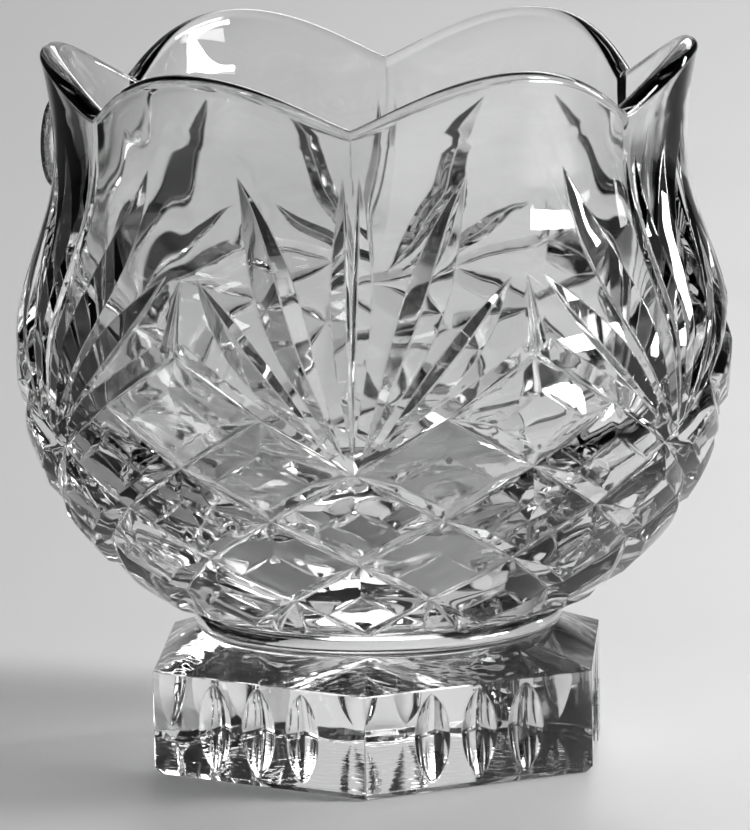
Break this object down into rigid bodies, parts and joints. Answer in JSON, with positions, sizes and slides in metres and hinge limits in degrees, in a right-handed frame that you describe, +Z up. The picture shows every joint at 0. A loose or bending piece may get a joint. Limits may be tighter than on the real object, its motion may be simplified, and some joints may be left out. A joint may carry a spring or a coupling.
{
  "type": "cut crystal vase",
  "caption": "Clear cut crystal vase with a petalled rim, fans over a diamond lattice, a neck ring and a hexagonal foot; holds cut flowers or posies on a table",
  "frame": {"origin": "bottom centre of the foot, on the table", "axes": "+Z up through the middle of the vase; -Y through a rim notch, a fan and a foot corner; +X through the middle of a petal and of a foot face"},
  "size_m": [0.1496, 0.1494, 0.15],
  "materials": {
    "body_glass": "clear lead crystal, fire-polished rim and polished cuts",
    "collar_glass": "clear crystal, smooth polished ring",
    "foot_glass": "clear crystal, polished faces with lens cuts, faint wear on the underside",
    "clear_film": "thin clear film, slightly cloudy",
    "paper_label": "thin pale coated label, plain"
  },
  "bodies": {
    "root": {"bowl": "body_glass", "collar": "collar_glass", "foot": "foot_glass", "rim_label": "clear_film", "foot_label": "paper_label"}
  },
  "joints": []
}
